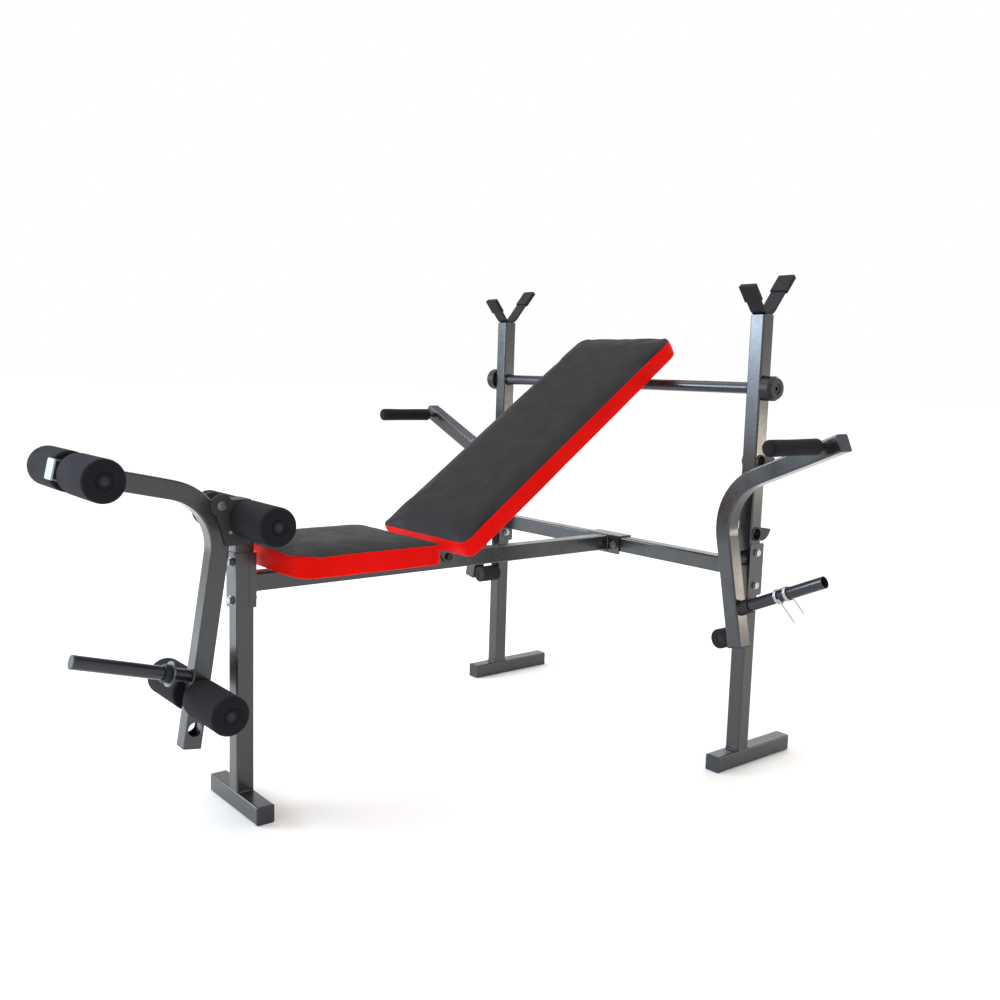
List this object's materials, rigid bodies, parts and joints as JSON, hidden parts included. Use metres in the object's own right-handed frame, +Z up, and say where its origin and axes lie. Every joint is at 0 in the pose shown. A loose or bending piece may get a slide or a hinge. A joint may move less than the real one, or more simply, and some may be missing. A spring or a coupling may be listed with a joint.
{
  "type": "adjustable weight bench",
  "caption": "Weight bench with an inclined backrest on a rear rack, barbell rests, pivoting butterfly arms and a leg developer with foam rollers.",
  "frame": {"origin": "on the floor, under the centre of the bounding box", "axes": "+X to the right seen from the leg developer end, +Y from the leg developer to the rack, +Z up"},
  "size_m": [1.3494, 1.4786, 1.0625],
  "materials": {
    "grey_powder_coat": "metallic grey powder coat",
    "zinc": "bright zinc plate",
    "chrome": "polished",
    "black_plastic": "moulded",
    "black_bolt": "black oxide",
    "rubber": "moulded rubber",
    "foam": "closed cell foam",
    "vinyl": "grained vinyl, red side band",
    "plywood": "bare plywood",
    "grey_cap": "moulded"
  },
  "bodies": {
    "frame": {"front_foot": "grey_powder_coat", "front_foot_caps": "black_plastic", "front_post": "grey_powder_coat", "post_ears": "grey_powder_coat", "arm_stop": "rubber", "post_clamp": "grey_powder_coat", "frame_bolts": "zinc", "leg_pivot_bolt": "zinc", "main_beam": "grey_powder_coat", "crossbar": "grey_powder_coat", "upright_plates": "grey_powder_coat", "upright_right": "grey_powder_coat", "upright_left": "grey_powder_coat", "rear_foot_caps": "black_plastic", "rest_right": "black_bolt", "rest_left": "black_bolt", "rest_covers": "rubber", "hole_bushings": "black_plastic", "rear_lugs": "black_plastic", "seat_board": "plywood", "seat_pad": "vinyl", "seat_screws": "zinc", "back_hinge_bolt": "black_bolt", "arm_bolts": "zinc", "arm_spacers": "black_plastic", "bumpers": "rubber", "bumper_screws": "black_bolt"},
    "support_bar_set": {"support_bar": "grey_powder_coat", "bar_cap": "black_plastic", "bar_knob": "black_plastic"},
    "backrest": {"back_rails": "grey_powder_coat", "back_board": "plywood", "back_pad": "vinyl", "back_screws": "zinc"},
    "leg_developer": {"leg_arm": "grey_powder_coat", "leg_arm_caps": "grey_cap", "leg_plate_post": "grey_powder_coat", "leg_post_disc": "zinc", "leg_post_collar": "black_plastic"},
    "knee_roller": {"knee_tube": "zinc", "knee_foams": "foam", "knee_plugs": "black_plastic"},
    "upper_roller": {"upper_tube": "zinc", "upper_foams": "foam", "upper_plugs": "black_plastic"},
    "lower_roller": {"lower_tube": "zinc", "lower_foams": "foam", "lower_plugs": "black_plastic"},
    "fly_right": {"arm_right": "grey_powder_coat", "arm_cap_right": "grey_cap", "grip_right": "foam", "peg_right": "grey_powder_coat", "socket_right": "black_plastic"},
    "fly_left": {"arm_left": "grey_powder_coat", "arm_cap_left": "grey_cap", "grip_left": "foam", "peg_left": "grey_powder_coat", "socket_left": "black_plastic"},
    "collar": {"spring_collar": "chrome"}
  },
  "joints": [
    {"name": "leg_curl", "type": "hinge", "parent": "frame", "child": "leg_developer", "pos_m": [0, -0.4477, 0.584], "axis": [-1, 0, 0], "range_deg": [0, 90]},
    {"name": "knee_roller_spin", "type": "hinge", "parent": "frame", "child": "knee_roller", "pos_m": [0, -0.3997, 0.558], "axis": [1, 0, 0], "continuous": true},
    {"name": "upper_roller_spin", "type": "hinge", "parent": "leg_developer", "child": "upper_roller", "pos_m": [0, -0.6967, 0.6512], "axis": [1, 0, 0], "continuous": true},
    {"name": "lower_roller_spin", "type": "hinge", "parent": "leg_developer", "child": "lower_roller", "pos_m": [0, -0.4889, 0.235], "axis": [1, 0, 0], "continuous": true},
    {"name": "fly_right_swing", "type": "hinge", "parent": "frame", "child": "fly_right", "pos_m": [0.417, 0.5098, 0.46], "axis": [0, -1, 0], "range_deg": [0, 75]},
    {"name": "fly_left_swing", "type": "hinge", "parent": "frame", "child": "fly_left", "pos_m": [-0.417, 0.5098, 0.46], "axis": [0, 1, 0], "range_deg": [0, 75]},
    {"name": "collar_slide", "type": "slide", "parent": "fly_right", "child": "collar", "axis": [0.9063, 0, 0.4226], "range_m": [-0.05, 0.08]},
    {"name": "backrest_lift", "type": "hinge", "parent": "frame", "child": "backrest", "pos_m": [0, 0.0643, 0.445], "axis": [1, 0, 0], "range_deg": [0, 15]},
    {"name": "support_bar_turn", "type": "hinge", "parent": "frame", "child": "support_bar_set", "pos_m": [0, 0.5718, 0.822], "axis": [1, 0, 0], "continuous": true}
  ]
}
